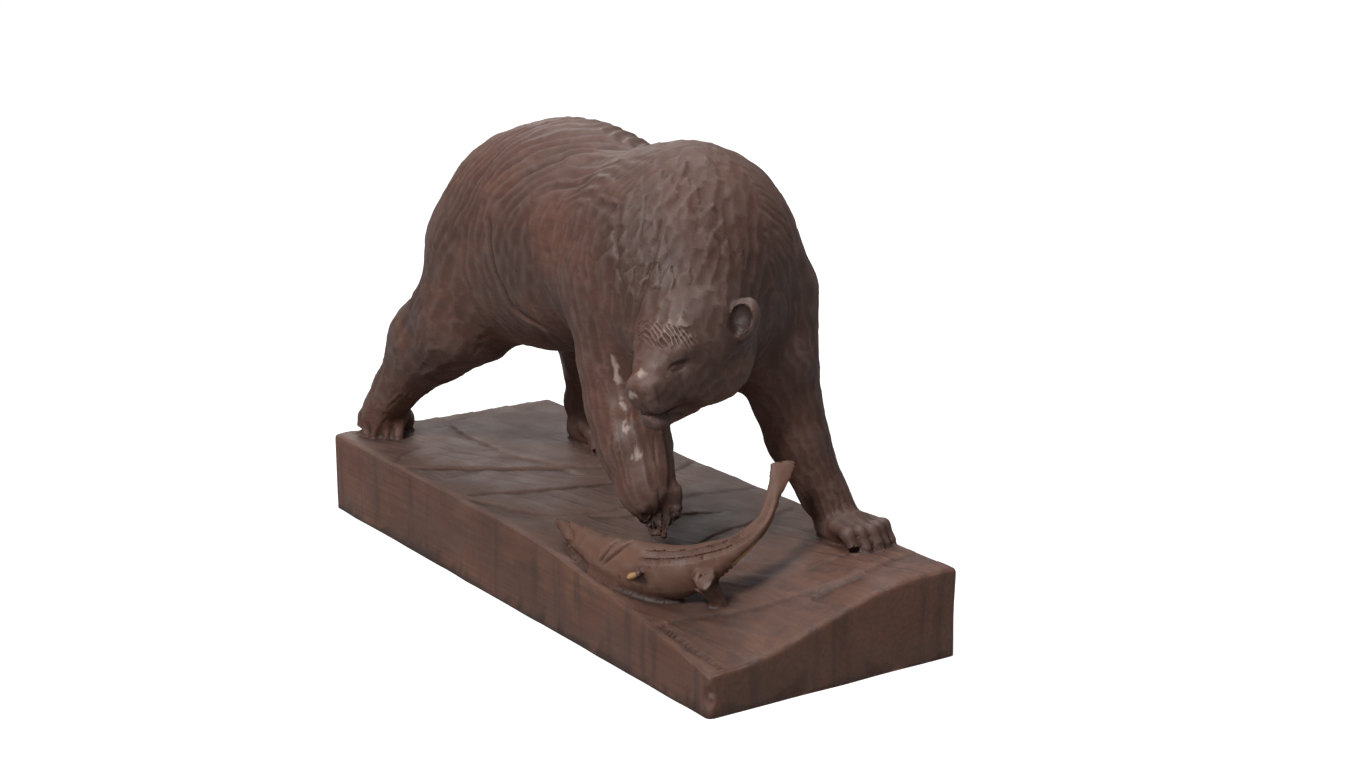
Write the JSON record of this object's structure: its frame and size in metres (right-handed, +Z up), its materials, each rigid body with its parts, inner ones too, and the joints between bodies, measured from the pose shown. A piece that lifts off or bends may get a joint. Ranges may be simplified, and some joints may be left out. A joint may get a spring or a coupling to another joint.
{
  "type": "carved wooden bear sculpture",
  "caption": "Carved wooden bear looking down at a fish under its raised forepaw, cut from one block with its long plinth.",
  "frame": {"origin": "centre of the plinth's flat underside", "axes": "+Z up, Y along the plinth, the bear walks toward -Y with its right side at -X"},
  "size_m": [0.2, 0.53, 0.3295],
  "materials": {
    "stained_wood": "semi-gloss dark stain over gouge-cut wood, worn pale on the ridges"
  },
  "bodies": {
    "root": {"bear_with_fish_on_plinth": "stained_wood"}
  },
  "joints": []
}
